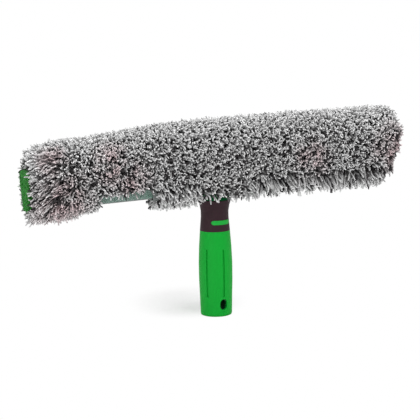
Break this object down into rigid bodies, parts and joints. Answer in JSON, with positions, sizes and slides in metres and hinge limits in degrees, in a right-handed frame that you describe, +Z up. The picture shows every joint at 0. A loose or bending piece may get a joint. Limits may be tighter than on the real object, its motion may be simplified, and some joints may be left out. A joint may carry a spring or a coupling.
{
  "type": "window scrubber",
  "caption": "Window scrubber: T-bar on a soft green pole-socket handle, in a grey fleece sleeve with fold-under flaps and a scouring pad on one end.",
  "frame": {"origin": "centre of the handle's open end, at the mouth of the pole socket", "axes": "+Z up the handle to the bar, +X along the bar away from the scouring pad, -Y the front with the lock window and the fastener tape"},
  "size_m": [0.4766, 0.0616, 0.2253],
  "materials": {
    "core_plastic": "moulded, dark green",
    "grip_rubber": "soft, satin green",
    "collar_rubber": "soft, satin black",
    "inlay_plastic": "satin green",
    "pin_steel": "drawn",
    "bar_plastic": "moulded, dark green",
    "backing_cloth": "woven grey",
    "fleece": "long grey and black microfibre pile",
    "scouring_pad": "bonded green fibre",
    "fastener_tape": "woven grey-green hook and loop tape"
  },
  "bodies": {
    "washer": {"handle_core": "core_plastic", "grip_cover": "grip_rubber", "collar_cover": "collar_rubber", "collar_inlay": "inlay_plastic", "neck_pin": "pin_steel", "t_bar": "bar_plastic", "left_bar_end_cap": "bar_plastic", "right_bar_end_cap": "bar_plastic", "sleeve_backing": "backing_cloth", "sleeve_pile": "fleece", "left_end_panel": "backing_cloth", "right_end_panel": "backing_cloth", "scrub_pad": "scouring_pad", "loop_tape": "fastener_tape"},
    "left_flap": {"left_flap_backing": "backing_cloth", "left_flap_pile": "fleece", "left_hook_tape": "fastener_tape"},
    "right_flap": {"right_flap_backing": "backing_cloth", "right_flap_pile": "fleece", "right_hook_tape": "fastener_tape"}
  },
  "joints": [
    {"name": "left_flap_hinge", "type": "hinge", "parent": "washer", "child": "left_flap", "pos_m": [-0.059, 0.0122, 0.14305], "axis": [1, 0, 0], "range_deg": [0, 95]},
    {"name": "right_flap_hinge", "type": "hinge", "parent": "washer", "child": "right_flap", "pos_m": [0.129, 0.0122, 0.14305], "axis": [1, 0, 0], "range_deg": [0, 95]}
  ]
}
